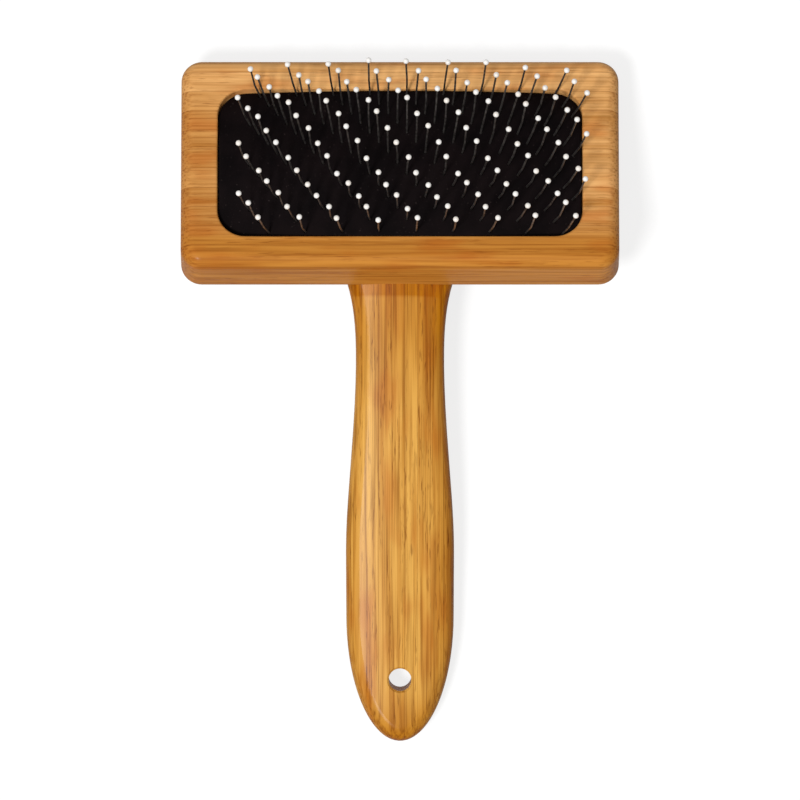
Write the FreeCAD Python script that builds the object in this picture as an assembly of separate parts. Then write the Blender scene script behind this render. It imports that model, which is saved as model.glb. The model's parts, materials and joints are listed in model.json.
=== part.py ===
import FreeCAD, Part
import os
from math import asin, atan2, cos, degrees, hypot, pi, radians, sin, sqrt, tan

# A bamboo slicker brush: a wooden head with a cushioned pad of bent wire pins, and a
# wooden handle glued at an angle behind it.  It lies on its back with the pins up,
# held by the far back edge of the head and the end of the handle.
#
# Millimetres.  World frame: +X across the head, +Y from the handle's end to the
# head's far edge, +Z up, origin on the surface it lies on, below the middle of its box.
# Head frame: origin on the front face at the middle of the pad, +Y to the far edge,
# +Z out of the face.  Handle frame: origin where the front of the handle leaves the head,
# +Y along the handle towards the head, +Z out of its front.

# --- head ---------------------------------------------------------------------------
head_width = 115.0
head_height = 58.2
head_thickness = 17.5
head_corner_radius = 5.5        # corners seen from the front
head_edge_radius = 3.5          # rounding of the front and back rims
head_middle = 0.3               # past the pad's middle, to the far edge

pocket_width = 95.7
pocket_height = 41.2
pocket_corner_radius = 7.3
pocket_rim_radius = 0.6
pocket_depth = 10.8

# --- pad ----------------------------------------------------------------------------
pad_recess = 0.6                # front face down to the rubber, midway along a long side
pad_side_gap = 0.3              # between the pad and the pocket's wall
pad_ridge_radius = 30.0         # rounded ridge along the middle of the pad
pad_flank_slope = 13.5          # degrees, from the ridge down to each long side
pad_bow_radius = 400.0          # long gentle bow from end to end
rubber_thickness = 1.6
cloth_thickness = 0.8

# --- wire pins ----------------------------------------------------------------------
wire_diameter = 0.5
pin_rows = 14                   # along Y, an even number: two rows share each staple
pin_columns = 9
row_pitch = 2.95
column_pitch = 9.7
columns_aside = 3.0             # the whole pattern stands this far to the right
rows_per_cycle = 4              # each row steps a quarter of a column, then starts again
knee_height = 6.5               # rubber to the bend in the wire
tip_rise = 6.5                  # bend to the centre of the ball
pin_splay_radius = 160.0        # the pins fan out to the ends more than the pad bows
pin_lean_fade = 0.9             # share of their lean over the long sides lost at the ends
tip_reach = 1.5                 # how far the bent part leans to the far edge
tip_wander = 0.35               # hand-set pins stand a little unevenly
knee_bend_radius = 1.5
foot_bend_radius = 0.32
wire_hole_gap = 0.03            # between the wire and its hole in the pad
crown_gap = 0.03                # between the cloth and the bend of the staple's foot
lone_foot_length = 2.5          # of a wire with one leg
ball_diameter = 1.5

# --- foam ---------------------------------------------------------------------------
foam_wire_gap = 0.3             # below the staple crowns
foam_side_gap = 0.3

# --- handle -------------------------------------------------------------------------
bend_angle = 26.3               # degrees between the head's back and the handle
handle_length = 121.4           # from the head to the tip
handle_joint_width = 28.0
handle_neck_width = 23.2
handle_neck_place = 21.0        # distances of the sections from the head
handle_palm_width = 28.3
handle_palm_place = 66.0
handle_nose_length = 33.0       # the end is half an ellipse
handle_thickness = 13.0         # at the head
handle_end_thickness = 10.5
handle_crown_radius = 70.0      # front and back are gently rounded across
handle_edge_radius = 4.2
tongue_length = 16.5            # the wedge that runs on behind the head
tongue_width = 30.4
tongue_toe_length = 11.0        # its end is half an ellipse too

hang_hole_diameter = 6.0
hang_hole_from_tip = 16.6
hang_hole_chamfer = 0.5

# --- glued dowels -------------------------------------------------------------------
dowel_diameter = 5.0
dowel_spacing = 14.0
dowel_from_edge = 8.5           # from the near side of the head
dowel_in_head = 4.6
dowel_skin = 1.6                # wood left behind the dowel in the handle
dowel_glue_gap = 0.05
dowel_end_gap = 0.3

# --- what follows from these --------------------------------------------------------
X = FreeCAD.Vector(1, 0, 0)
Y = FreeCAD.Vector(0, 1, 0)
Z = FreeCAD.Vector(0, 0, 1)
ORIGIN = FreeCAD.Vector(0, 0, 0)
thinning = atan2(handle_thickness - handle_end_thickness, handle_length)
slope = radians(pad_flank_slope)
wire_radius = wire_diameter / 2
ball_radius = ball_diameter / 2

# Pad profile across its short way: straight flanks joined by the rounded ridge.
pad_height = pocket_height - 2 * pad_side_gap
ridge_half = pad_ridge_radius * sin(slope)
flank_drop = (pad_height / 2 - ridge_half) * tan(slope)
ridge_top = -pad_recess + flank_drop + pad_ridge_radius * (1 - cos(slope))
ridge_axis_z = ridge_top - pad_ridge_radius
bow_axis_z = ridge_top - pad_bow_radius

# Depths below the rubber's top, measured square to it.
cloth_under = rubber_thickness + cloth_thickness
crown_depth = cloth_under + foot_bend_radius + crown_gap
foam_top = crown_depth + wire_radius + foam_wire_gap

# The handle leaves the near side of the head where the back rim's rounding begins.
near_side = head_middle - head_height / 2
far_side = head_middle + head_height / 2
joint = FreeCAD.Vector(0, near_side, -head_thickness + head_edge_radius)
handle_in_head = FreeCAD.Placement(joint, FreeCAD.Rotation(X, bend_angle))


# --- helpers ------------------------------------------------------------------------
def vector(x, y, z):
    return FreeCAD.Vector(x, y, z)


def unit(way):
    return way / way.Length


def moved(shape, placement):
    copy = shape.copy()
    copy.Placement = placement.multiply(copy.Placement)
    return copy


def rounded_rectangle(width, height, radius, z):
    """A closed face, centred on the Z axis."""
    diagonal = radius * (1 - sqrt(0.5))
    edges = []
    for turn in range(4):
        x, y = (width / 2, height / 2) if turn % 2 == 0 else (height / 2, width / 2)
        spin = FreeCAD.Rotation(Z, 90 * turn)
        start = spin.multVec(vector(x, y - radius, z))
        middle = spin.multVec(vector(x - diagonal, y - diagonal, z))
        end = spin.multVec(vector(x - radius, y, z))
        following = spin.multVec(vector(-x + radius, y, z))
        edges.append(Part.Arc(start, middle, end).toShape())
        edges.append(Part.LineSegment(end, following).toShape())
    return Part.Face(Part.Wire(edges))


def rounded_block(width, height, radius, low, high):
    return rounded_rectangle(width, height, radius, low).extrude(Z * (high - low))


def edges_at_height(shape, z):
    """The edges of a solid that lie wholly at one height."""
    near = 1e-4
    return [edge for edge in shape.Edges
            if abs(edge.BoundBox.ZMin - z) < near and abs(edge.BoundBox.ZMax - z) < near]


# --- head ---------------------------------------------------------------------------
def head_blank():
    """The rounded block before anything is cut in it."""
    block = rounded_block(head_width, head_height, head_corner_radius, -head_thickness, 0)
    rims = edges_at_height(block, 0) + edges_at_height(block, -head_thickness)
    block = block.makeFillet(head_edge_radius, rims)
    block.translate(Y * head_middle)
    return block


def dowel_places():
    y = near_side + dowel_from_edge
    return [vector(side * dowel_spacing / 2, y, -head_thickness) for side in (-1, 1)]


def dowel_socket(place, depth, way):
    return Part.makeCylinder(dowel_diameter / 2 + dowel_glue_gap, depth, place, way)


def head_block(blank):
    pocket = rounded_block(pocket_width, pocket_height, pocket_corner_radius, -pocket_depth, 1)
    block = blank.cut(pocket)
    rim = [edge for edge in edges_at_height(block, 0)
           if abs(edge.CenterOfMass.x) <= pocket_width / 2 + pocket_rim_radius
           and abs(edge.CenterOfMass.y) <= pocket_height / 2 + pocket_rim_radius]
    block = block.makeFillet(pocket_rim_radius, rim)
    for place in dowel_places():
        block = block.cut(dowel_socket(place, dowel_in_head, Z))
    return block


# --- handle -------------------------------------------------------------------------
def tongue_depth(y):
    """How far the wedge reaches below the head's back, at a place along the head."""
    back = handle_in_head.multVec(vector(0, 0, -handle_thickness))
    return -head_thickness - back.z - (y - back.y) * tan(radians(bend_angle) - thinning)


def dowel_in_handle():
    """Depth of the dowel holes in the wedge, whose back slants across each hole."""
    shallow_side = near_side + dowel_from_edge + dowel_diameter / 2
    return tongue_depth(shallow_side) - dowel_skin


def quarter_ellipse(end, side, centre):
    """From a point on one axis of the ellipse to a point on the other."""
    if (end - centre).Length > (side - centre).Length:
        return Part.Arc(Part.Ellipse(end, side, centre), 0, pi / 2).toShape()
    return Part.Arc(Part.Ellipse(side, end, centre), 0, pi / 2).toShape()


def handle_outline():
    """The right half of the handle seen from the front, from its toe to its tip."""
    shoulder = vector(tongue_width / 2, tongue_length - tongue_toe_length, 0)
    palm_end = vector(handle_palm_width / 2, -handle_length + handle_nose_length, 0)
    side = Part.BSplineCurve()
    side.interpolate([shoulder,
                      vector(handle_joint_width / 2, 0, 0),
                      vector(handle_neck_width / 2, -handle_neck_place, 0),
                      vector(handle_palm_width / 2, -handle_palm_place, 0),
                      palm_end],
                     InitialTangent=-Y, FinalTangent=-Y)
    return [quarter_ellipse(Y * tongue_length, shoulder, Y * shoulder.y),
            side.toShape(),
            quarter_ellipse(Y * -handle_length, palm_end, Y * palm_end.y)]


def crowned_bar():
    """A long bar whose top is the crowned face of the handle, along Y at z = 0."""
    reach = 2 * (handle_length + tongue_length)
    return Part.makeCylinder(handle_crown_radius, reach,
                             vector(0, -reach / 2, -handle_crown_radius), Y)


def hang_hole():
    """The hole near the tip, with the countersink at its front and back."""
    y = -handle_length + hang_hole_from_tip
    back = -handle_thickness - y * tan(thinning)
    wide = hang_hole_diameter / 2 + hang_hole_chamfer
    hole = Part.makeCylinder(hang_hole_diameter / 2, 2 * handle_thickness,
                             vector(0, y, -1.5 * handle_thickness), Z)
    front_cone = Part.makeCone(0, 2 * wide, 2 * wide, vector(0, y, -wide), Z)
    back_cone = Part.makeCone(0, 2 * wide, 2 * wide, vector(0, y, back + wide), -Z)
    return [hole, front_cone, back_cone]


def handle(blank):
    """The board in the handle frame, with its seat cut to the back of the head."""
    half = handle_outline()
    mirrored = [edge.mirror(ORIGIN, X) for edge in half]
    plan = Part.Face(Part.Wire(Part.__sortEdges__(half + mirrored)))
    board = plan.extrude(Z * -3 * handle_thickness)
    board.translate(Z * handle_thickness)
    back = crowned_bar()
    back.rotate(ORIGIN, Y, 180)
    back.rotate(ORIGIN, X, -degrees(thinning))
    back.translate(Z * -handle_thickness)
    board = board.common(crowned_bar()).common(back)
    rims = [edge for edge in board.Edges
            if abs(edge.CenterOfMass.x) > wire_radius
            and abs(edge.tangentAt((edge.FirstParameter + edge.LastParameter) / 2).z) < 0.7]
    board = board.makeFillet(handle_edge_radius, rims)
    board = board.cut(hang_hole())
    sockets = [dowel_socket(place, dowel_in_handle(), -Z) for place in dowel_places()]
    taken = [moved(shape, handle_in_head.inverse()) for shape in [blank] + sockets]
    return moved(board.cut(taken), handle_in_head)


def handle_dowels():
    length = dowel_in_head + dowel_in_handle() - 2 * dowel_end_gap
    low = dowel_in_handle() - dowel_end_gap
    return [Part.makeCylinder(dowel_diameter / 2, length, place - Z * low, Z)
            for place in dowel_places()]


# --- pad layers and foam ------------------------------------------------------------
def below_surface(depth):
    """All the space under the pad's crowned surface, from a depth below it."""
    radius = pad_ridge_radius - depth
    turn_y = radius * sin(slope)
    turn_z = ridge_axis_z + radius * cos(slope)
    side_y = head_height / 2
    side_z = turn_z - (side_y - turn_y) * tan(slope)
    floor = vector(0, 0, -2 * head_thickness)
    corners = [vector(0, side_y, floor.z), vector(0, side_y, side_z), vector(0, turn_y, turn_z),
               vector(0, -turn_y, turn_z), vector(0, -side_y, side_z),
               vector(0, -side_y, floor.z)]
    edges = [Part.LineSegment(start, end).toShape()
             for start, end in zip(corners, corners[1:] + corners[:1])]
    edges[2] = Part.Arc(corners[2], vector(0, 0, ridge_axis_z + radius), corners[3]).toShape()
    sweep = degrees(atan2(head_width, pad_bow_radius))
    region = Part.Face(Part.Wire(edges))
    region.rotate(vector(0, 0, bow_axis_z), Y, -sweep / 2)
    return region.revolve(vector(0, 0, bow_axis_z), Y, sweep)


def filling(side_gap):
    """The pocket less a gap all round, up to well above the pad."""
    return rounded_block(pocket_width - 2 * side_gap, pocket_height - 2 * side_gap,
                         pocket_corner_radius - side_gap, -pocket_depth, head_thickness)


def pad_layer(upper, lower, holes):
    layer = filling(pad_side_gap).common(below_surface(upper)).cut(below_surface(lower))
    return layer.cut(holes)


def foam_cushion():
    return filling(foam_side_gap).common(below_surface(foam_top))


# --- wire pins ----------------------------------------------------------------------
def ridge_lean(across):
    """How far the pad's surface leans to a long side, at a place across it."""
    return asin(min(max(across, -ridge_half), ridge_half) / pad_ridge_radius)


def on_pad(along, across, depth):
    """A point at a depth below the pad's surface, and the way square out of it there."""
    lean = ridge_lean(across)
    drop = max(abs(across) - ridge_half, 0) * tan(slope)
    radius = ridge_axis_z + pad_ridge_radius * cos(lean) - drop - bow_axis_z
    turn = along / pad_bow_radius
    point = vector(radius * sin(turn), across, bow_axis_z + radius * cos(turn))
    out = vector(cos(lean) * sin(turn), sin(lean), cos(lean) * cos(turn))
    return point - out * depth, out


def pin_place(row, column):
    """Distances along and across the pad; row 0 is the one at the far edge."""
    step = (row + 1) % rows_per_cycle - (rows_per_cycle - 1) / 2
    along = (column - (pin_columns - 1) / 2 + step / rows_per_cycle) * column_pitch
    return along + columns_aside, ((pin_rows - 1) / 2 - row) * row_pitch


def pin_way(along, across):
    """The way a pin points: square to the pad in the middle, fanned out at the ends."""
    lean = ridge_lean(across) * (1 - pin_lean_fade * (2 * along / pocket_width) ** 2)
    turn = along / pin_splay_radius
    return vector(cos(lean) * sin(turn), sin(lean), cos(lean) * cos(turn))


def on_pin(row, column, depth):
    """A point on a straight pin at a depth below the pad's surface, and the pin's way."""
    along, across = pin_place(row, column)
    base, out = on_pad(along, across, 0)
    way = pin_way(along, across)
    return base - way * (depth / way.dot(out)), way


def pin_tip(row, column):
    """The knee in the wire and the centre of its ball."""
    base, way = on_pin(row, column, 0)
    knee = base + way * knee_height
    golden_turn = 2.4 * (row * pin_columns + column)
    wander = vector(cos(golden_turn), sin(golden_turn), 0) * tip_wander
    return knee, knee + way * tip_rise + Y * tip_reach + wander


def wire_holes():
    holes = []
    for row in range(pin_rows):
        for column in range(pin_columns):
            foot, way = on_pin(row, column, cloth_under + 1)
            holes.append(Part.makeCylinder(wire_radius + wire_hole_gap, cloth_under + 2, foot, way))
    return holes


def bent_wire(points, radii):
    """A round wire along straight runs, with an arc at each inner point."""
    edges = []
    start = points[0]
    for before, corner, after, radius in zip(points, points[1:], points[2:], radii):
        back = unit(before - corner)
        ahead = unit(after - corner)
        half_turn = (pi - back.getAngle(ahead)) / 2
        first = corner + back * radius * tan(half_turn)
        last = corner + ahead * radius * tan(half_turn)
        middle = corner + unit(back + ahead) * radius * (1 / cos(half_turn) - 1)
        edges.append(Part.LineSegment(start, first).toShape())
        edges.append(Part.Arc(first, middle, last).toShape())
        start = last
    edges.append(Part.LineSegment(start, points[-1]).toShape())
    section = Part.Circle(points[0], points[1] - points[0], wire_radius).toShape()
    return Part.Wire(edges).makePipeShell([Part.Wire(section)], True, False)


def leg(row, column):
    """The points of one pin from its ball down to its foot under the cloth."""
    foot, _ = on_pin(row, column, crown_depth)
    knee, tip = pin_tip(row, column)
    return [tip, knee, foot]


def staple(row, column, next_column):
    """Two pins of one wire, joined by the crown that lies under the cloth."""
    bends = (knee_bend_radius, foot_bend_radius, foot_bend_radius, knee_bend_radius)
    return bent_wire(leg(row, column) + leg(row + 1, next_column)[::-1], bends)


def lone_pin(row, column):
    """A pin at the end of a row whose wire has no second leg, only a short foot."""
    along, across = pin_place(row, column)
    inward = -along / abs(along) * lone_foot_length
    end, _ = on_pad(along + inward, across, crown_depth)
    return bent_wire(leg(row, column) + [end], (knee_bend_radius, foot_bend_radius))


def wires(row):
    """The wires of a row and the next one.

    Where the next row steps back to start a new cycle, each wire goes on to the next
    column, so that all the crowns are alike, and one pin at each end is left over.
    """
    carry = 1 if (row + 2) % rows_per_cycle == 0 else 0
    joined = [staple(row, column, column + carry) for column in range(pin_columns - carry)]
    if carry:
        joined += [lone_pin(row, pin_columns - 1), lone_pin(row + 1, 0)]
    return joined


def ball_tip(row, column):
    """A ball of hard resin on the wire, whose end is at its centre."""
    knee, tip = pin_tip(row, column)
    down = unit(knee - tip)
    socket = Part.makeCylinder(wire_radius, ball_diameter, tip, down)
    return Part.makeSphere(ball_radius, tip, down).cut(socket)


# --- how it rests -------------------------------------------------------------------
def resting_tilt():
    """Tilt of the head when its far back edge and the handle's tip touch a table.

    Both contacts are arcs in the middle plane, so the table is their common tangent.
    """
    far = vector(0, far_side - head_edge_radius, -head_thickness + head_edge_radius)
    y = -handle_length + handle_edge_radius
    z = -handle_thickness - y * tan(thinning) + handle_edge_radius / cos(thinning)
    near = handle_in_head.multVec(vector(0, y, z))
    span = far.y - near.y
    rise = near.z - far.z
    return asin((handle_edge_radius - head_edge_radius) / hypot(span, rise)) - atan2(rise, span)


def in_world(pieces):
    """Tilted as it rests, with the origin below the middle of the whole brush."""
    tilt = FreeCAD.Placement(ORIGIN, FreeCAD.Rotation(X, -degrees(resting_tilt())))
    boxes = [moved(shape, tilt).optimalBoundingBox(False)
             for name in ("head_block", "handle", "ball_tips_row_01") for shape in pieces[name]]
    low = min(box.YMin for box in boxes)
    high = max(box.YMax for box in boxes)
    floor = min(box.ZMin for box in boxes)
    place = FreeCAD.Placement(vector(0, -(low + high) / 2, -floor), tilt.Rotation)
    return {name: [moved(shape, place) for shape in shapes]
            for name, shapes in pieces.items()}


# --- the pieces ---------------------------------------------------------------------
def build():
    blank = head_blank()
    holes = wire_holes()
    pieces = {
        "head_block": head_block(blank).Solids,
        "handle": handle(blank).Solids,
        "handle_dowels": handle_dowels(),
        "foam_cushion": foam_cushion().Solids,
        "pad_rubber": pad_layer(0, rubber_thickness, holes).Solids,
        "pad_cloth": pad_layer(rubber_thickness, cloth_under, holes).Solids,
    }
    for pair in range(pin_rows // 2):
        pieces[f"wire_staples_{pair + 1}"] = wires(2 * pair)
    for row in range(pin_rows):
        pieces[f"ball_tips_row_{row + 1:02d}"] = [
            ball_tip(row, column) for column in range(pin_columns)]
    return in_world(pieces)


os.makedirs("parts", exist_ok=True)
for name, solids in build().items():
    shape = solids[0] if len(solids) == 1 else Part.Compound(solids)
    shape.exportStep(f"parts/{name}.step")
    print(f"{name:20s} {len(solids):3d} solid(s)  volume {shape.Volume:10.2f} mm3")
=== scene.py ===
# %% [markdown]
# # A bamboo slicker brush
#
# A slicker brush lifts loose hair out of a coat. A block of laminated bamboo holds a
# cushioned rubber pad, through which stand 126 bent steel pins, each with a bead of white
# resin on its end. A bamboo handle is glued behind the block at an angle. The construction
# model already has every solid at its real size, so this script keeps the rigid pieces as
# they are, gives each its finish, and models the soft pad anew.

# %% Load the construction model
import json
from math import asin, cos, hypot, pi, radians, sin, sqrt, tan

import bpy
from mathutils import Matrix, Vector
from mathutils.kdtree import KDTree


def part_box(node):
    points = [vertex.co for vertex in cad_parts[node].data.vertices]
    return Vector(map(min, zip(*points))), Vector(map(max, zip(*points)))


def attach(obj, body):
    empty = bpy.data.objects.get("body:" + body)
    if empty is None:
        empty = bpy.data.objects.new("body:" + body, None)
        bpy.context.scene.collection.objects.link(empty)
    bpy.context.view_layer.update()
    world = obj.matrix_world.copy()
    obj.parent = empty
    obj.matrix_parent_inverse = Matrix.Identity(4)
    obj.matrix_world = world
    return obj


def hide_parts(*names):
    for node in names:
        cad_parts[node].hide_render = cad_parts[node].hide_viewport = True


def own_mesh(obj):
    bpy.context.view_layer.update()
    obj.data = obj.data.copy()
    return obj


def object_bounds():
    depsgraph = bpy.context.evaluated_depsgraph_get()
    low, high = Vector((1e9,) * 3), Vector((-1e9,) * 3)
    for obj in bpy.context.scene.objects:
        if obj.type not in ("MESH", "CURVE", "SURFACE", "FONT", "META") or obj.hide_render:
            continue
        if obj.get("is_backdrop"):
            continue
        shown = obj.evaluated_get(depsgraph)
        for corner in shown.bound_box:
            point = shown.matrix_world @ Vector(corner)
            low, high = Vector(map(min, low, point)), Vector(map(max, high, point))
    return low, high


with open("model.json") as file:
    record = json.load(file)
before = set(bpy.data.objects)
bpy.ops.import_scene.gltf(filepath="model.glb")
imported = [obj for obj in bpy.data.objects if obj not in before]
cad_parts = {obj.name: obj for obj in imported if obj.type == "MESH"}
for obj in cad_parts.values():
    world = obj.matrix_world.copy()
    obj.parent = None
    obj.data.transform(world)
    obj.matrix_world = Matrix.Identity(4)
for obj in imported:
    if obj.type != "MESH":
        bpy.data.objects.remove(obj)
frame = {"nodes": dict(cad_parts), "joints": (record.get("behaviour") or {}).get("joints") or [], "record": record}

cad_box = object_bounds()
nodes = frame["nodes"]
MM = 0.001
for axis, low, high in zip("XYZ", *cad_box):
    print(f"{axis}: {low / MM:7.1f} to {high / MM:7.1f} mm")

# %% [markdown]
# ## Where the head is
#
# The brush lies on its back, so its head is tipped. Everything on the head is easier to
# model square on, with X along the head, Y to its far edge and Z out of its front face, and
# then to turn into place. The pad's joint says which way is into the head, and the block's
# own vertices say where its faces are.

# %% The head's own axes
joint = frame["joints"][0]
out_of_face = -Vector(joint["axis"]).normalized()
across = Vector((1, 0, 0))
to_far_edge = out_of_face.cross(across)


def span(node, direction):
    """The lowest and highest reach of a node along a direction."""
    reach = [vertex.co.dot(direction) for vertex in nodes[node].data.vertices]
    return min(reach), max(reach)


near_edge, far_edge = span("head_block", to_far_edge)
head_back, head_face = span("head_block", out_of_face)
head_centre = to_far_edge * sum(span("pad_rubber", to_far_edge)) / 2 + out_of_face * head_face
head_matrix = Matrix.Translation(head_centre) @ Matrix(
    (across, to_far_edge, out_of_face)).transposed().to_4x4()
tilt = asin(out_of_face.y)
print(f"The head is tipped by {tilt * 180 / pi:.1f} degrees, "
      f"{(far_edge - near_edge) / MM:.1f} mm high and {(head_face - head_back) / MM:.1f} mm thick")

# %% [markdown]
# ## The camera
#
# The brush is seen from straight above with a long lens, so that its sides show no
# perspective to speak of. The distance is worked out from the lens and from how much of
# the picture's height the brush takes.

# %% Camera
PICTURE_FILL = 0.86             # share of the picture's height
LENS, SENSOR = 700.0, 36.0      # mm

low, high = cad_box
field = (high.y - low.y) / PICTURE_FILL
bpy.ops.object.camera_add(location=(0, (low.y + high.y) / 2, high.z + field * LENS / SENSOR))
camera = bpy.context.object
camera.name = "camera"
camera.data.lens = LENS
camera.data.sensor_width = SENSOR
camera.data.clip_start = 0.01
camera.data.clip_end = 50
bpy.context.scene.camera = camera
print(f"The camera is {camera.location.z:.2f} m up")

# %% [markdown]
# ## Shader maths as plain sums
#
# A procedural finish is a long chain of small nodes. Wrapping a socket in a class whose
# plus, minus, times and divide each add a Math node lets the chain be written as a sum.
# One other method makes every other kind of node.

# %% Helpers for materials
class Value:
    """A number that a node gives out, ready for sums."""

    def __init__(self, finish, socket):
        self.finish = finish
        self.socket = socket

    def sum(self, operation, *values):
        return self.finish.node("ShaderNodeMath", {"operation": operation}, dict(enumerate(values)))

    def __add__(self, other):
        return self.sum("ADD", self, other)

    def __sub__(self, other):
        return self.sum("SUBTRACT", self, other)

    def __rsub__(self, other):
        return self.sum("SUBTRACT", other, self)

    def __mul__(self, other):
        return self.sum("MULTIPLY", self, other)

    def __truediv__(self, other):
        return self.sum("DIVIDE", self, other)

    def __rtruediv__(self, other):
        return self.sum("DIVIDE", other, self)

    __radd__ = __add__
    __rmul__ = __mul__

    def floor(self):
        return self.sum("FLOOR", self)

    def size(self):
        return self.sum("ABSOLUTE", self)

    def rise(self, start, end):
        """0 below start, 1 above end, and a smooth step between them."""
        return self.finish.node("ShaderNodeMapRange",
                                {"interpolation_type": "SMOOTHSTEP"},
                                {"Value": self, "From Min": start, "From Max": end})


class Finish:
    """A material under construction."""

    def __init__(self, name):
        self.material = bpy.data.materials.new(name)
        self.material.use_nodes = True
        self.tree = self.material.node_tree
        self.tree.nodes.clear()

    def node(self, kind, settings=None, inputs=None, output=0):
        """Adds a node with its settings, fills or links its sockets and gives one output."""
        made = self.tree.nodes.new(kind)
        for name, setting in (settings or {}).items():
            setattr(made, name, setting)
        for name, value in (inputs or {}).items():
            if isinstance(value, Value):
                self.tree.links.new(value.socket, made.inputs[name])
            else:
                made.inputs[name].default_value = value
        return Value(self, made.outputs[output])

    def place(self, matrix):
        """Object coordinates in millimetres, in the axes of a matrix."""
        at = self.node("ShaderNodeTexCoord", output="Object")
        turned = matrix.inverted()
        return self.node("ShaderNodeMapping", {"vector_type": "POINT"}, {
            "Vector": at,
            "Location": turned.translation / MM,
            "Rotation": turned.to_euler(),
            "Scale": (1 / MM,) * 3})

    def parts(self, vector):
        """The three numbers of a vector."""
        split = self.node("ShaderNodeSeparateXYZ", None, {"Vector": vector}).socket.node
        return [Value(self, socket) for socket in split.outputs]

    def vector(self, x, y, z):
        return self.node("ShaderNodeCombineXYZ", None, {"X": x, "Y": y, "Z": z})

    def noise(self, vector, scale=1.0, detail=2.0):
        return self.node("ShaderNodeTexNoise", None, {
            "Vector": vector, "Scale": scale, "Detail": detail})

    def tint(self, factor, first, second, way="MIX"):
        """Colours go through a Mix node: sums would turn them grey."""
        return self.node("ShaderNodeMix", {"data_type": "RGBA", "blend_type": way},
                         {0: factor, 6: first, 7: second}, output=2)

    def bump(self, height, distance):
        return self.node("ShaderNodeBump", None, {"Height": height, "Distance": distance})

    def done(self, inputs):
        """Ends the material in a Principled shader with these sockets."""
        shader = self.node("ShaderNodeBsdfPrincipled", None, inputs)
        last = self.tree.nodes.new("ShaderNodeOutputMaterial")
        self.tree.links.new(shader.socket, last.inputs["Surface"])
        return self.material


def paint(red, green, blue):
    """A colour given as a painter's 0 to 255 values, made linear as the shaders want it."""
    steps = [value / 255 for value in (red, green, blue)]
    return tuple(step / 12.92 if step <= 0.04045 else ((step + 0.055) / 1.055) ** 2.4
                 for step in steps) + (1.0,)


def dress(node, material):
    """Gives a solid of the construction model its finish."""
    for material_slot in nodes[node].material_slots:
        material_slot.material = material


# %% [markdown]
# ## Laminated bamboo
#
# Bamboo boards are split canes, planed into strips about 5 mm wide and glued side by side
# and layer on layer. Each strip has its own tone. Inside a strip run straight fibres: broad
# soft streaks, fine hair lines and short dark dashes where a bundle is cut. All of it is
# solid through the wood, so the pattern is worked out in three dimensions and every face,
# edge rounding and hole shows the grain that a saw would find there. Where a board is cut
# across, the bundles are seen end on, as fine dark dots that crowd to one side of each strip.
#
# Light and shade are painted into the colour too: a painted highlight, painted light and painted shade in places,
# and a darker tone in others. Mixing towards one dark brown there would drown the streaks, so the painted shade is
# multiplied in, which keeps their contrast.

# %% Bamboo finish
def reach_along(node, matrix):
    """How far a node goes from its matrix along the grain, in millimetres."""
    turned = matrix.inverted()
    return max(abs((turned @ vertex.co).x) for vertex in nodes[node].data.vertices) / MM


PAINTED_SHADE_AND_TONE = (0.64, 0.43, 0.05, 1.0)     # what the strongest painted shade, or darker tone, leaves of red, green and blue
BUNDLES_PER_MM = 1.3
ROUNDED_END = 3.4                   # mm over which side grain turns into end grain
END_FACE = 0.2


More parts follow.
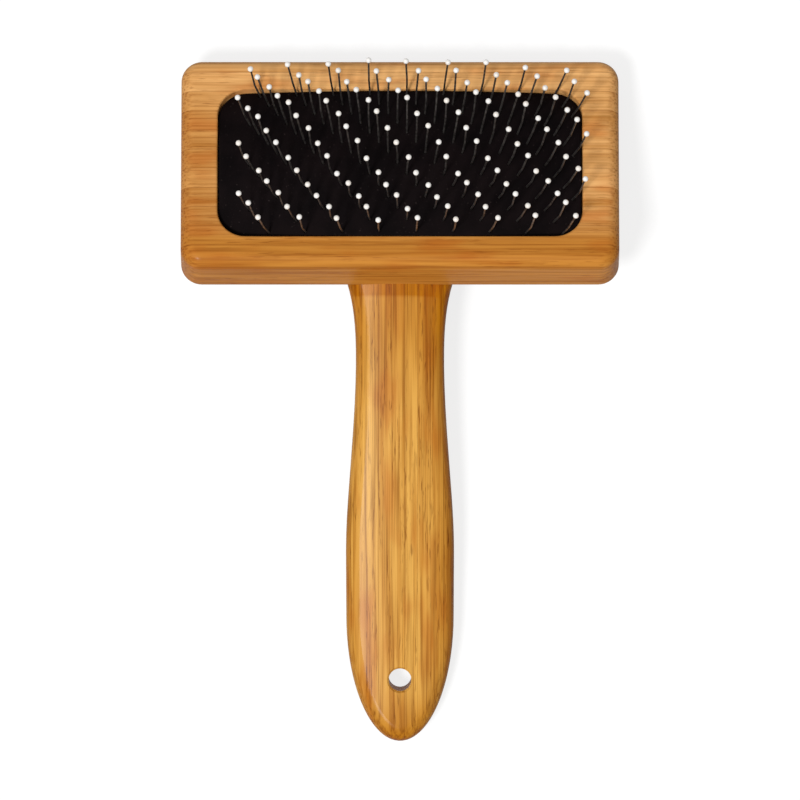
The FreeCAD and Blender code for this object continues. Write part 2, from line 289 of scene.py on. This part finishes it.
def bamboo(name, matrix, strip, layer, colours, seed, painted_light_and_tone, vividness, cut_at):
    """Bamboo with its grain along X of the matrix and its strips stacked along Y and Z.
    A strip and a layer are sizes in millimetres, and the grain is cut across at cut_at."""
    light, dark, warm, line = colours
    finish = Finish(name)
    along, side, deep = finish.parts(finish.place(matrix))

    sheet = (deep / layer + 0.5).floor()
    lane = side / strip + sheet * 0.37 + seed
    strip_number = lane.floor()
    chance = finish.node("ShaderNodeTexWhiteNoise", {"noise_dimensions": "2D"},
                         {"Vector": finish.vector(strip_number, sheet, 0)})
    shift = chance * 500

    def grain(stretch, fineness, detail=2.0):
        """Streaks about stretch mm long, with so many across a millimetre."""
        return finish.noise(finish.vector(along / stretch + shift, side * fineness,
                                          deep * fineness), detail=detail)

    broad = grain(60, 0.3).rise(0.32, 0.68)
    streaks = grain(42, 0.95).rise(0.34, 0.66)
    threads = grain(26, 2.4, 3.0).rise(0.36, 0.66)
    dashes = grain(5, 2.6).rise(0.55, 0.68) * grain(50, 0.35).rise(0.42, 0.60)
    blotch = finish.noise(finish.vector(along / 22, side / 6, deep / 6), detail=2.0)
    over_strip = lane - strip_number
    joint_line = (over_strip - 0.5).size().rise(0.45, 0.5)

    sawn = along.size().rise(cut_at - ROUNDED_END, cut_at - END_FACE)
    bundles = finish.node("ShaderNodeTexVoronoi", {"voronoi_dimensions": "2D"},
                          {"Vector": finish.vector(side, deep, 0), "Scale": BUNDLES_PER_MM})
    dots = (1 - (bundles - over_strip * 0.16).rise(0.12, 0.30)) * sawn

    # Painted light and painted shade for this part, with some lighter and darker tone.
    painted_light_and_lift, painted_shade_and_tone = painted_light_and_tone(along, side, deep)
    # Painted light, and a lighter tone, lift the colour.
    tone = (chance * 0.45 + streaks * 0.4) * vividness + broad * 0.3 - painted_light_and_lift
    tone = tone * (1 - sawn) + (chance * 0.4 + over_strip * 0.2 + 0.3) * sawn
    colour = finish.tint(tone, light, dark)
    colour = finish.tint(blotch.rise(0.48, 0.70) * (0.45 - sawn * 0.35), colour, warm)
    fibres = (threads * streaks + dashes) * (1 - sawn) * 0.5 * vividness + joint_line * 0.3
    colour = finish.tint(fibres + dots * 0.5, colour, line)
    # Painted shade, and a darker tone in places, multiplied into the colour.
    colour = finish.tint(painted_shade_and_tone, colour, PAINTED_SHADE_AND_TONE, "MULTIPLY")

    height = threads * 0.5 + dashes * -0.6 + joint_line * -0.4
    return finish.done({
        "Base Color": colour,
        "Roughness": 0.42 + threads * 0.16,
        "Specular IOR Level": 0.04,
        "Coat Weight": 0.08,
        "Coat Roughness": 0.22,
        "Normal": finish.bump(height, 0.03 * MM)})


def head_painted_light_and_tone(along, side, deep):
    """Painted light along the far border, painted shade along the near border, and a darker tone towards the left
    end.
    """
    # painted light along the far border
    far = side.rise(12, 22)
    # a darker tone towards the left end, less of it near the far border
    left = (along * -1).rise(34, 54) * (0.46 - far * 0.3)
    # painted shade along the near border
    return far * 0.15, left + (side * -1).rise(14, 23) * (0.8 - left)


def handle_painted_light_and_tone(along, side, deep):
    """Painted light and shade on the handle. A painted highlight runs up its left side towards the head. Painted
    shade darkens both long sides, most the right one, the tip end and the part next to the head, and a painted
    shadow falls on its front just below the head. The whole handle is also a little lighter in tone."""
    # painted shade along both long sides, most the right one
    painted_edge_shade = side.size().rise(8, 13) * 0.3 + (side * -1).rise(1, 11) * 0.3
    # painted shade towards the tip end
    painted_nose_shade = (along * -1).rise(0, 14) * 0.7 + (along * -1).rise(12, 16.6) * 0.3
    # painted shade towards the head, and a painted shadow on the front just below it
    painted_neck_shadow = along.rise(66, 96) * 0.55 + along.rise(100.8, 103.2) * deep.rise(0, 4) * 0.9
    # a painted highlight up the left side
    pale = (1 - (side - 8).size().rise(0.5, 3)) * along.rise(25, 60)
    return pale * 0.5 + 0.2, painted_edge_shade + painted_nose_shade + painted_neck_shadow


HEAD_COLOURS = (paint(246, 188, 120), paint(190, 125, 52), paint(212, 122, 50), paint(140, 72, 20))
HANDLE_COLOURS = (paint(230, 174, 84), paint(184, 116, 24), paint(186, 98, 18), paint(114, 56, 2))

head_bamboo = bamboo("head_bamboo", head_matrix, 5.4, 6.0, HEAD_COLOURS, 3.3, head_painted_light_and_tone, 0.7,
                     reach_along("head_block", head_matrix))
dress("head_block", head_bamboo)

hang_hole = frame["record"]["mounts"][0]
out_of_handle = Vector(hang_hole["axis"])
down_handle = out_of_handle.cross(across)
handle_matrix = Matrix.Translation(Vector(hang_hole["pos_m"])) @ Matrix(
    (down_handle, -across, out_of_handle)).transposed().to_4x4()
handle_bamboo = bamboo("handle_bamboo", handle_matrix, 3.4, 7.0, HANDLE_COLOURS, 1.0,
                       handle_painted_light_and_tone, 1.0, reach_along("handle", handle_matrix))
dress("handle", handle_bamboo)
print("Bamboo on", [node for node in nodes if nodes[node].data.materials[0] in
                    (head_bamboo, handle_bamboo)])

# %% [markdown]
# ## Dowels
#
# The dowels are hidden in the glue joint. They are plain turned beech: pale, dry and with
# fine pores along their length.

# %% Dowel finish
def beech(name, matrix):
    finish = Finish(name)
    x, y, z = finish.parts(finish.place(matrix))
    pores = finish.noise(finish.vector(x * 3, y * 3, z / 5), detail=3.0).rise(0.5, 0.75)
    colour = finish.tint(pores * 0.5, paint(214, 184, 140), paint(176, 136, 92))
    return finish.done({"Base Color": colour, "Roughness": 0.7 - pores * 0.1,
                        "Normal": finish.bump(pores, -0.02 * MM)})


dress("handle_dowels", beech("dowel_beech", head_matrix))

# %% [markdown]
# ## Steel pins and resin beads
#
# The pins are drawn spring wire, grey and slightly polished along their length by use. The
# beads are drops of hard white resin, which stay glossy.

# %% Wire and bead finishes
def spring_steel(name):
    finish = Finish(name)
    at = finish.place(head_matrix)
    cloud = finish.noise(at, scale=0.9, detail=3.0)
    colour = finish.tint(cloud.rise(0.35, 0.7), paint(142, 137, 133), paint(86, 81, 78))
    return finish.done({"Base Color": colour, "Metallic": 0.9, "Roughness": 0.3 + cloud * 0.2})


def white_resin(name):
    finish = Finish(name)
    at = finish.place(head_matrix)
    cloud = finish.noise(at, scale=0.35, detail=2.0)
    colour = finish.tint(cloud.rise(0.4, 0.7), paint(252, 250, 246), paint(244, 236, 226))
    return finish.done({"Base Color": colour, "Roughness": 0.16 + cloud * 0.08,
                        "Coat Weight": 0.3, "Coat Roughness": 0.05})


steel = spring_steel("spring_steel")
resin = white_resin("white_resin")
wire_nodes = sorted(node for node in nodes if node.startswith("wire_staples"))
ball_nodes = sorted(node for node in nodes if node.startswith("ball_tips"))
for node in wire_nodes:
    dress(node, steel)
for node in ball_nodes:
    dress(node, resin)
print(len(wire_nodes), "groups of wires and", len(ball_nodes), "rows of beads")

# %% [markdown]
# ## The pad: its shape
#
# The pad is a rubber sheet over a woven cloth, pushed up by foam into a low roof with a
# rounded ridge, and bowed gently from end to end. Each layer starts as a flat grid, because
# even squares bend smoothly and behave well as cloth. The grid's square corners are drawn in
# to the pocket's round ones, and each point is lifted onto the crowned surface.

# %% The crowned surface
# In millimetres. The recess is from the head's face down to the middle of a long side.
RIDGE_RADIUS = 30.0
FLANK_SLOPE = radians(13.5)
BOW_RADIUS = 400.0
RECESS = 0.6
CORNER_RADIUS = 7.0

pad_low, pad_high = (reach / MM for reach in span("pad_rubber", to_far_edge))
half_height = (pad_high - pad_low) / 2
pad_left, pad_right = (corner.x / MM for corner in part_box("pad_rubber"))
half_width = (pad_right - pad_left) / 2
ridge_half = RIDGE_RADIUS * sin(FLANK_SLOPE)
ridge_top = (-RECESS + (half_height - ridge_half) * tan(FLANK_SLOPE)
             + RIDGE_RADIUS * (1 - cos(FLANK_SLOPE)))


def crown(x, y, depth=0.0):
    """Height above the head's face of the pad's surface, or of a layer below it, in mm."""
    radius = RIDGE_RADIUS - depth
    turn = radius * sin(FLANK_SLOPE)
    curved = min(abs(y), turn)
    height = (ridge_top - RIDGE_RADIUS + sqrt(radius ** 2 - curved ** 2)
              - (abs(y) - curved) * tan(FLANK_SLOPE))
    bow_axis = ridge_top - BOW_RADIUS
    return bow_axis + sqrt((height - bow_axis) ** 2 - x ** 2)


solid_top = (span("pad_rubber", out_of_face)[1] - head_face) / MM
print(f"The ridge is {crown(0, 0):.2f} mm above the face, and {solid_top:.2f} mm in the solid")

# %% [markdown]
# ## The pad: a sheet on the bench
#
# The cloth solver is tuned to things the size of garments, so each layer is made on a bench
# around the origin at ten times its size, and shrunk and turned into the head at the end.

# %% A crowned sheet
BENCH = 10 * MM             # of the bench to each millimetre of the brush
FINE_GRID = (152, 56)       # squares along and across, for the rubber
COARSE_GRID = (76, 28)      # for the layers under it


def rounded(x, y):
    """Draws the square corners of a grid in to round ones."""
    corner_x, corner_y = half_width - CORNER_RADIUS, half_height - CORNER_RADIUS
    u, v = abs(x) - corner_x, abs(y) - corner_y
    if u > 0 and v > 0:
        pull = max(u, v) / hypot(u, v)
        x = (corner_x + u * pull) * (1 if x > 0 else -1)
        y = (corner_y + v * pull) * (1 if y > 0 else -1)
    return x, y


def sheet_on_bench(name, squares_x, squares_y, depth):
    bpy.ops.object.select_all(action="DESELECT")
    bpy.ops.mesh.primitive_grid_add(x_subdivisions=squares_x, y_subdivisions=squares_y, size=2)
    sheet = bpy.context.object
    sheet.name = sheet.data.name = name
    for vertex in sheet.data.vertices:
        x, y = rounded(vertex.co.x * half_width, vertex.co.y * half_height)
        vertex.co = Vector((x, y, crown(x, y, depth))) * BENCH
    return sheet


def on_rim(sheet):
    """The points at the open edge of a sheet."""
    uses = {}
    for face in sheet.data.polygons:
        for edge in face.edge_keys:
            uses[edge] = uses.get(edge, 0) + 1
    return sorted({point for edge, count in uses.items() if count == 1 for point in edge})


def apply_modifiers(piece):
    bpy.context.view_layer.objects.active = piece
    for modifier in list(piece.modifiers):
        bpy.ops.object.modifier_apply(modifier=modifier.name)


def into_head(piece):
    """Takes a finished piece from the bench to its place, which goes into its mesh."""
    piece.data.transform(head_matrix @ Matrix.Scale(MM / BENCH, 4))
    bpy.ops.object.select_all(action="DESELECT")
    piece.select_set(True)
    bpy.context.view_layer.objects.active = piece
    bpy.ops.object.shade_smooth_by_angle(angle=radians(40))


rubber_sheet = sheet_on_bench("pad_sheet", *FINE_GRID, 0)
print(len(rubber_sheet.data.polygons), "squares")

# %% [markdown]
# ## The pad: where the pins go through
#
# The pins stand in 14 rows of 9. Each row is stepped a quarter of a column against the one
# before, and after four rows the pattern starts again, so the beads line up on slants. The
# grid's point nearest to each pin is slid onto it, and its eight neighbours onto a small
# circle, ready to become a collar.

# %% Pin places
PIN_ROWS, PIN_COLUMNS = 14, 9
ROW_PITCH, COLUMN_PITCH = 2.95, 9.7
COLUMNS_ASIDE = 3.0
COLLAR_RADIUS = 0.68
RING = 8

pins = []
for row in range(PIN_ROWS):
    step = (row + 1) % 4 - 1.5
    for column in range(PIN_COLUMNS):
        along = (column - (PIN_COLUMNS - 1) / 2 + step / 4) * COLUMN_PITCH + COLUMNS_ASIDE
        pins.append((along, ((PIN_ROWS - 1) / 2 - row) * ROW_PITCH))

points = rubber_sheet.data.vertices
tree = KDTree(len(points))
for point in points:
    tree.insert(point.co, point.index)
tree.balance()

pin_points = []
for x, y in pins:
    place = Vector((x, y, crown(x, y))) * BENCH
    nearest = tree.find(place)[1]
    ring = [index for _, index, _ in tree.find_n(points[nearest].co, RING + 1)[1:]]
    for index in ring:
        way = (points[index].co - points[nearest].co).xy.normalized() * COLLAR_RADIUS
        at = (x + way.x, y + way.y)
        points[index].co = Vector((*at, crown(*at))) * BENCH
    points[nearest].co = place
    pin_points.append(nearest)
print(len(set(pin_points)), "pins go through the pad")

# %% [markdown]
# ## The pad: letting it swell
#
# Foam presses the rubber up from below, while the rim and the wires hold it down, so it
# quilts very slightly between the pins. Blender's Cloth does this by itself: the rim and the
# pin points are pinned, gravity is off, and a pressure lifts the rest. The real pad is taut,
# so no point may rise more than a fraction of a millimetre.

# %% Cloth
SWELL_STEPS = 20
SWELL_PRESSURE = 4.0
SWELL_LIMIT = 0.35      # mm on the finished pad


def swell(sheet, held_points):
    held = sheet.vertex_groups.new(name="held")
    held.add(held_points, 1.0, "REPLACE")
    flat = [vertex.co.copy() for vertex in sheet.data.vertices]
    bpy.context.view_layer.objects.active = sheet
    bpy.ops.object.modifier_add(type="CLOTH")
    cloth = sheet.modifiers[-1]
    cloth.settings.vertex_group_mass = held.name
    cloth.settings.use_pressure = True
    cloth.settings.uniform_pressure_force = SWELL_PRESSURE
    cloth.settings.effector_weights.gravity = 0
    for frame_number in range(1, SWELL_STEPS + 1):
        bpy.context.scene.frame_set(frame_number)
    apply_modifiers(sheet)
    bpy.context.scene.frame_set(1)
    rises = []
    for vertex, start in zip(sheet.data.vertices, flat):
        move = vertex.co - start
        rises.append(move.length / BENCH)
        if rises[-1] > SWELL_LIMIT:
            vertex.co = start + move.normalized() * SWELL_LIMIT * BENCH
    sheet.vertex_groups.clear()
    print(f"The sheet rose by up to {max(rises):.2f} mm, "
          f"and by {sum(rises) / len(rises):.2f} mm on average")


rim_points = on_rim(rubber_sheet)
swell(rubber_sheet, rim_points + pin_points)

# %% [markdown]
# ## The pad: thickness, edge and collars
#
# Solidify gives the sheet its thickness, and a bevel rolls its sharp edge. Then the middle
# point of every ring is dissolved, which leaves one eight-sided face round each wire. Inset
# with a little depth raises that face as a collar, and two more insets sink a hole in it, so
# that the rubber grips the wire as it does where a pin is pushed through it.

# %% Rubber pad
RUBBER_THICKNESS = 1.6
EDGE_ROLL = 0.45
COLLAR_STEPS = ((0.12, 0.10), (0.12, 0.04), (0.08, -0.05), (0.02, -0.40))   # inward, raised

rubber_sheet.vertex_groups.new(name="rim").add(rim_points, 1.0, "REPLACE")
thickness = rubber_sheet.modifiers.new("thickness", "SOLIDIFY")
thickness.thickness = RUBBER_THICKNESS * BENCH
thickness.offset = -1
apply_modifiers(rubber_sheet)


def edit(piece, mode):
    """Opens a piece for editing with nothing selected."""
    bpy.ops.object.select_all(action="DESELECT")
    piece.select_set(True)
    bpy.context.view_layer.objects.active = piece
    bpy.ops.object.mode_set(mode="EDIT")
    bpy.ops.mesh.select_mode(type=mode)
    bpy.ops.mesh.select_all(action="DESELECT")


def choose(items, wanted):
    """Selects items of the mesh by index. Selection is set in object mode."""
    bpy.ops.object.mode_set(mode="OBJECT")
    wanted = set(wanted)
    for item in items:
        item.select = item.index in wanted
    bpy.ops.object.mode_set(mode="EDIT")


faces = rubber_sheet.data.polygons
edit(rubber_sheet, "VERT")
choose(rubber_sheet.data.vertices, pin_points)
bpy.ops.mesh.dissolve_verts()
bpy.ops.mesh.select_mode(type="FACE")
bpy.ops.object.mode_set(mode="OBJECT")
collars = [face.index for face in faces if len(face.vertices) == RING and face.normal.z > 0]
bpy.ops.object.mode_set(mode="EDIT")
choose(faces, collars)
for inward, raised in COLLAR_STEPS:
    bpy.ops.mesh.inset(thickness=inward * BENCH, depth=raised * BENCH, use_individual=True)
bpy.ops.object.mode_set(mode="OBJECT")

in_rim = {vertex.index for vertex in rubber_sheet.data.vertices if len(vertex.groups) > 0}
edit(rubber_sheet, "FACE")
choose(faces, [face.index for face in faces if in_rim.issuperset(face.vertices)])
bpy.ops.mesh.region_to_loop()
bpy.ops.mesh.bevel(offset=EDGE_ROLL * BENCH, segments=3, clamp_overlap=True)
bpy.ops.object.mode_set(mode="OBJECT")
into_head(rubber_sheet)
print(len(collars), "collars,", len(faces), "faces")

# %% [markdown]
# ## Rubber
#
# The sheet is black natural rubber, matt from its moulding, with a fine pebble and a few
# paler specks of talc that stay in it. The pebble is a bump, far too fine for geometry.

# %% Rubber finish
def rubber(name):
    finish = Finish(name)
    at = finish.place(head_matrix)
    cloud = finish.noise(at, scale=0.12, detail=3.0)
    pebble = finish.noise(at, scale=3.2, detail=2.0)
    talc = finish.noise(at, scale=1.6, detail=3.0).rise(0.66, 0.76)
    colour = finish.tint(cloud.rise(0.3, 0.7), paint(9, 5, 6), paint(18, 11, 12))
    colour = finish.tint(talc * 0.3, colour, paint(84, 72, 70))
    return finish.done({
        "Base Color": colour,
        "Roughness": 0.62 + pebble * 0.2,
        "Specular IOR Level": 0.05,
        "Normal": finish.bump(pebble, 0.05 * MM)})


rubber_sheet.data.materials.append(rubber("black_rubber"))
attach(rubber_sheet, "pad")
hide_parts("pad_rubber")

# %% [markdown]
# ## The cloth and the foam under the rubber
#
# Both are made from the same kind of grid as the rubber, only coarser, since they are inside
# the pocket. The cloth is thickened by Solidify. The foam is extruded down from its crowned
# top, and its lower points are pressed flat onto the pocket's floor by scaling them to
# nothing about that height.

# %% Cloth backing
CLOTH_THICKNESS = 0.8
GLUE_GAP = 0.02

backing = sheet_on_bench("pad_backing", *COARSE_GRID, RUBBER_THICKNESS + GLUE_GAP)
thickness = backing.modifiers.new("thickness", "SOLIDIFY")
thickness.thickness = (CLOTH_THICKNESS - GLUE_GAP) * BENCH
thickness.offset = -1
apply_modifiers(backing)
into_head(backing)


def woven(name, thread):
    """A plain weave: threads pass over and under each other in a chequer."""
    finish = Finish(name)
    x, y, _ = finish.parts(finish.place(head_matrix))
    warp, weft = x / thread, y / thread
    over = ((warp.floor() + weft.floor()) / 2 - ((warp.floor() + weft.floor()) / 2).floor()) * 2
    warp_round = 1 - (warp - warp.floor() - 0.5).size() * 2
    weft_round = 1 - (weft - weft.floor() - 0.5).size() * 2
    height = warp_round * over + weft_round * (1 - over)
    # The colour is darker where the weave is low: painted shade in its hollows and at the sides of the threads.
    colour = finish.tint(height, paint(120, 108, 90), paint(196, 184, 160))
    return finish.done({"Base Color": colour, "Roughness": 0.9 - height * 0.1,
                        "Normal": finish.bump(height, 0.1 * MM)})


backing.data.materials.append(woven("cotton_backing", 0.6))
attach(backing, "pad")
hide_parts("pad_cloth")

# %% Foam cushion
FOAM_TOP = 3.3      # mm below the rubber's surface

foam_floor = (span("foam_cushion", out_of_face)[0] - head_face) / MM
foam = sheet_on_bench("pad_foam", *COARSE_GRID, FOAM_TOP)
edit(foam, "FACE")
bpy.ops.mesh.select_all(action="SELECT")
bpy.ops.mesh.extrude_region_move()
bpy.ops.transform.resize(value=(1, 1, 0), center_override=(0, 0, foam_floor * BENCH))
bpy.ops.mesh.select_all(action="SELECT")
bpy.ops.mesh.normals_make_consistent(inside=False)
bpy.ops.object.mode_set(mode="OBJECT")
into_head(foam)


def open_foam(name):
    finish = Finish(name)
    at = finish.place(head_matrix)
    cells = finish.node("ShaderNodeTexVoronoi", None, {"Vector": at, "Scale": 1.8})
    colour = finish.tint(cells, paint(236, 222, 176), paint(206, 186, 130))
    return finish.done({"Base Color": colour, "Roughness": 0.9 - cells * 0.05,
                        "Normal": finish.bump(cells, 0.2 * MM)})


foam.data.materials.append(open_foam("open_cell_foam"))
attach(foam, "frame")
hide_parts("foam_cushion")
head_centre + out_of_face * foam_floor * MM
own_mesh(foam)
print(f"The foam stands {foam_floor:.1f} mm below the face")

# %% [markdown]
# ## Floor and light
#
# A product like this is shown on white with no horizon. The floor is a plain white sheet
# that adds its own white only where the camera, or a reflection, sees it, so the background
# is white and still takes a faint shadow, and no extra light falls on the brush.

# %% Floor
FLOOR_SIZE = 6.0
OWN_WHITE = 0.8

bpy.ops.object.select_all(action="DESELECT")
bpy.ops.mesh.primitive_plane_add(size=FLOOR_SIZE, location=(0, 0, cad_box[0].z))
floor = bpy.context.object
floor.name = "floor"
bpy.ops.object.transform_apply(location=True, rotation=True, scale=True)


def seen_directly(finish):
    """1 for what the camera sees itself, in a mirror or through glass."""
    path = finish.node("ShaderNodeLightPath").socket.node
    direct, mirrored, through = (
        Value(finish, path.outputs[kind])
        for kind in ("Is Camera Ray", "Is Glossy Ray", "Is Transmission Ray"))
    return finish.node("ShaderNodeMath", {"operation": "MAXIMUM"},
                       {0: direct, 1: mirrored + through})


def white_floor(name):
    finish = Finish(name)
    seen = seen_directly(finish)
    at = finish.node("ShaderNodeTexCoord", output="Object")
    mottle = finish.noise(at, scale=0.8)
    return finish.done({
        "Base Color": finish.tint(mottle, (0.21, 0.21, 0.21, 1), (0.23, 0.23, 0.23, 1)),
        "Roughness": 0.9,
        "Emission Color": finish.tint(seen, (0, 0, 0, 1), (OWN_WHITE,) * 3 + (1,)),
        "Emission Strength": 1.0})


floor.data.materials.append(white_floor("white_paper"))
floor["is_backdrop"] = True
print(f"The floor lies at {cad_box[0].z / MM:.2f} mm")

# %% [markdown]
# ## Lamps
#
# A wide, soft sun stands high over the near left corner, so that the head's near side is lit
# as well as its face. A long, narrow lamp farther to the left draws the pale line that runs
# down the handle's lacquer, together with a painted highlight in the handle's colour. The even light of the world
# fills the shadows.

# %% Lights
world = bpy.data.worlds.new("studio")
bpy.context.scene.world = world
world.use_nodes = True
background = world.node_tree.nodes["Background"]
background.inputs["Color"].default_value = (1, 1, 1, 1)
background.inputs["Strength"].default_value = 0.35


def lamp(name, kind, location, settings):
    """A lamp that points at the middle of the brush."""
    place = Vector(location)
    turn = ((cad_box[0] + cad_box[1]) / 2 - place).to_track_quat("-Z", "Y").to_euler()
    bpy.ops.object.light_add(type=kind, location=place, rotation=turn)
    made = bpy.context.object
    made.name = name
    for setting, value in settings.items():
        setattr(made.data, setting, value)


lamp("key", "SUN", (-0.30, -0.28, 1.0), {"energy": 2.35, "angle": radians(12)})
lamp("strip", "AREA", (-0.45, 0.0, 1.2),
     {"energy": 1.0, "shape": "RECTANGLE", "size": 0.14, "size_y": 0.9})
bpy.context.scene.view_settings.view_transform = "Standard"

# %% [markdown]
# ## Closing
#
# The box of the finished model is measured against that of the construction model, axis by axis.

# %% Sizes
new_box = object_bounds()
for axis, low, high, new_low, new_high in zip("XYZ", *cad_box, *new_box):
    print(f"{axis}: {(new_low - low) / MM:+.2f} and {(new_high - high) / MM:+.2f} mm")
